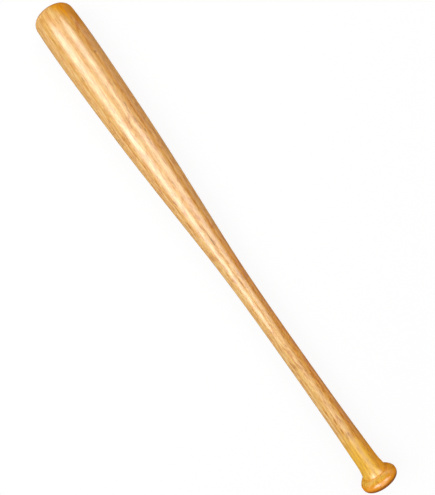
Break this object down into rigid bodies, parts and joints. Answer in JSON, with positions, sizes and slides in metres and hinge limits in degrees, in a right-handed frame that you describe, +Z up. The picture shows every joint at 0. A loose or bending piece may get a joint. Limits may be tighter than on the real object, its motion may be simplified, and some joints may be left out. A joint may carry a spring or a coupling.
{
  "type": "wooden bat",
  "caption": "Turned hardwood bat with a round knob, flared slim handle, long taper and full barrel, clear-lacquered with bare end-grain discs, for striking a ball.",
  "frame": {"origin": "on the ground under the middle of the bat's length, straight below its turning axis", "axes": "+X along the turning axis from knob to barrel end, +Z up, the bat lies on its barrel's lowest line"},
  "size_m": [0.762, 0.0584, 0.0584],
  "materials": {
    "bare_hardwood": "sanded end grain, dull",
    "clear_lacquer": "clear gloss lacquer over light hardwood"
  },
  "bodies": {
    "root": {"hardwood_billet": "bare_hardwood", "lacquer_coat": "clear_lacquer"}
  },
  "joints": []
}
